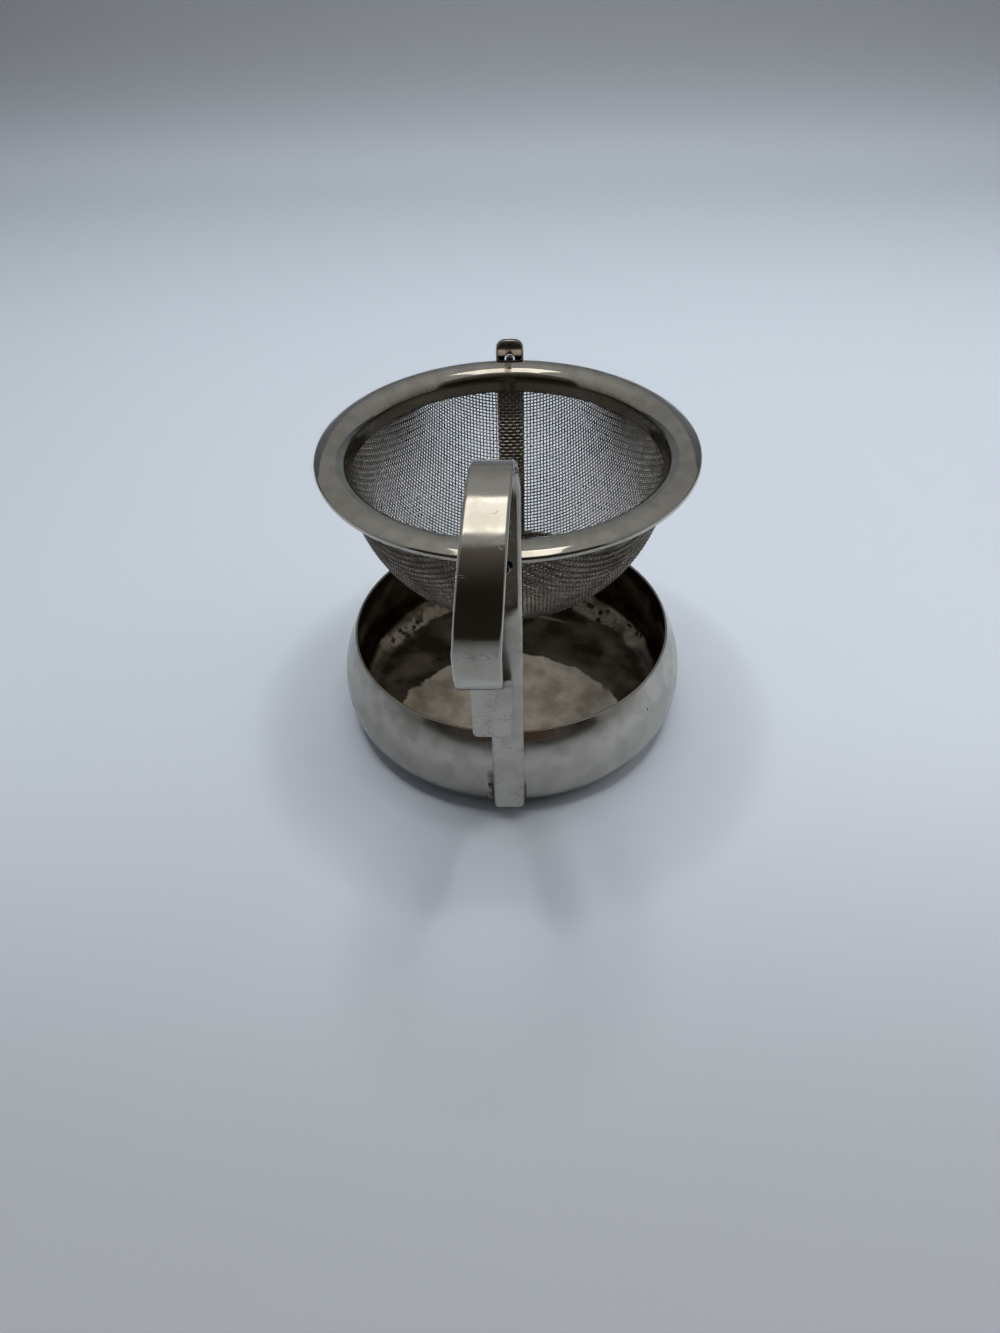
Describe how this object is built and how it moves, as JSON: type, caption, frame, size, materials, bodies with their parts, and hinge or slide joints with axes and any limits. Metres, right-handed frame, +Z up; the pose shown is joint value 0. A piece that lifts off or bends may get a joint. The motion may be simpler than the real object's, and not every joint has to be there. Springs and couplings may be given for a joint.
{
  "type": "swivel tea strainer",
  "caption": "Tea strainer with a wire cloth basket that swivels on a pivot line over a pressed steel drip bowl, carried by a bent strip with a finger loop.",
  "frame": {"origin": "on the table, at the middle of the bowl's flat base", "axes": "+Z up along the bowl's axis, -Y towards the finger loop, +X to the right seen from the finger loop; the pivot line runs along Y"},
  "size_m": [0.0772, 0.1058, 0.0893],
  "materials": {
    "bowl_steel": "worn polished stainless steel with tea stains",
    "strip_steel": "worn polished stainless steel strip",
    "rim_steel": "satin stainless steel",
    "wire_cloth": "woven stainless steel wire"
  },
  "bodies": {
    "stand": {"drip_bowl": "bowl_steel", "handle_strap": "strip_steel", "rear_post": "strip_steel"},
    "basket": {"strainer_rim": "rim_steel", "strainer_mesh": "wire_cloth", "front_pivot": "rim_steel", "rear_pivot": "rim_steel"}
  },
  "joints": [
    {"name": "basket_swivel", "type": "hinge", "parent": "stand", "child": "basket", "pos_m": [0, 0, 0.066], "axis": [0, 1, 0], "continuous": true}
  ]
}
